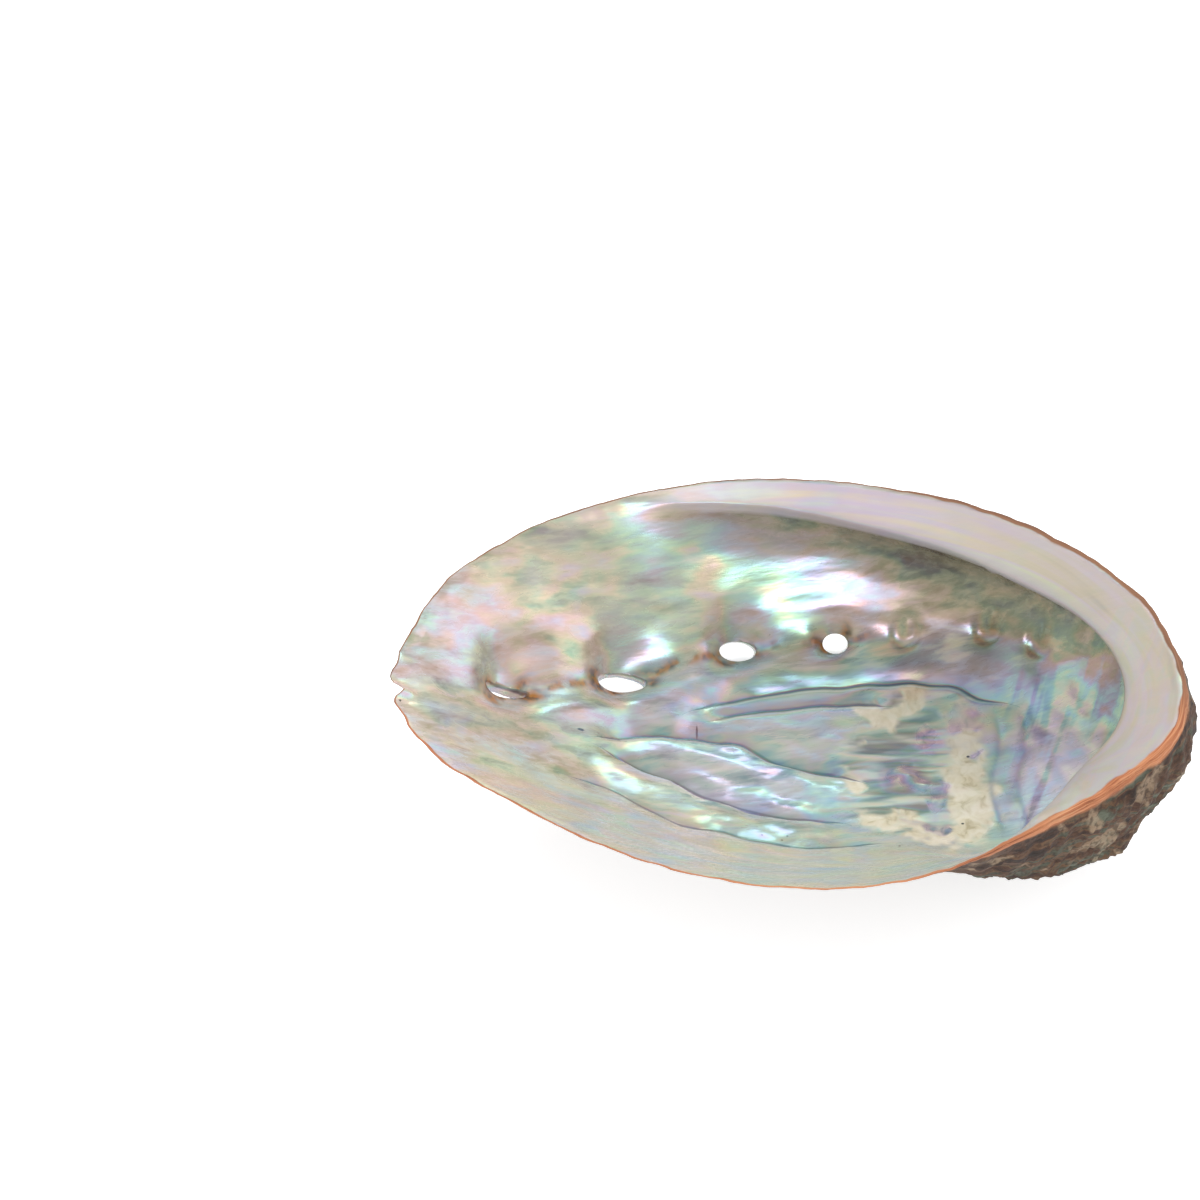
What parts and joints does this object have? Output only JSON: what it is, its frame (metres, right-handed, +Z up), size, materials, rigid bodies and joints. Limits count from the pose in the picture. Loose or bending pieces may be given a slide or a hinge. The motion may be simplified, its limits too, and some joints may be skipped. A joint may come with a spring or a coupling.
{
  "type": "abalone shell",
  "caption": "Ear-shaped abalone shell lying on its back, with a pearly bowl, a flat inner lip, a row of open breathing pores and a low spire.",
  "frame": {"origin": "under the middle of the shell's bounding box, on the surface it rests on", "axes": "+X to the spire end, +Y to the side with the inner lip and the pores, +Z up out of the bowl"},
  "size_m": [0.0598, 0.0382, 0.0169],
  "materials": {
    "shell": "polished"
  },
  "bodies": {
    "root": {"shell": "shell"}
  },
  "joints": []
}
